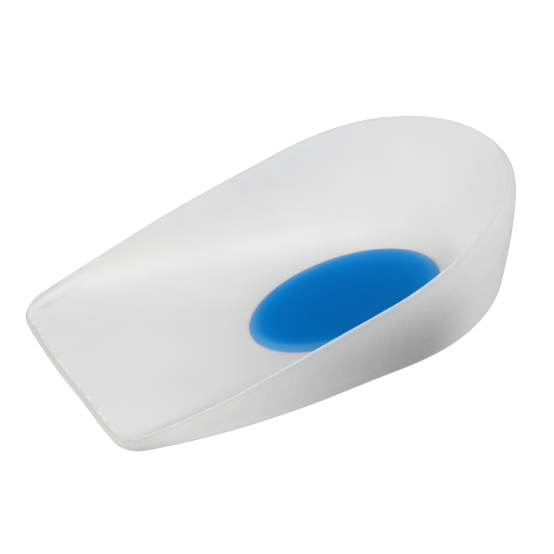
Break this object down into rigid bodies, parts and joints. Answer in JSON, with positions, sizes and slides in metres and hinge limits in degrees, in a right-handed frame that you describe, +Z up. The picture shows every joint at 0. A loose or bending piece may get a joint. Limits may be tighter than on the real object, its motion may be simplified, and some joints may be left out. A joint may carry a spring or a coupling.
{
  "type": "silicone heel spur insole",
  "caption": "Translucent silicone heel cup insole with a flat sole, a wall that rises round the heel, a thin front edge and a softer oval spot let into the floor under the heel.",
  "frame": {"origin": "middle of the sole, on the surface that the insole lies on", "axes": "+Z up out of the cup, +Y from the thin front edge to the back of the heel, +X to the side that the spot is set towards"},
  "size_m": [0.0624, 0.105, 0.029],
  "materials": {
    "milky_silicone": "milky translucent silicone, satin, smooth moulded",
    "blue_silicone": "blue softer silicone, satin, paler at its edge"
  },
  "bodies": {
    "root": {"heel_cup": "milky_silicone", "soft_spot": "blue_silicone"}
  },
  "joints": []
}
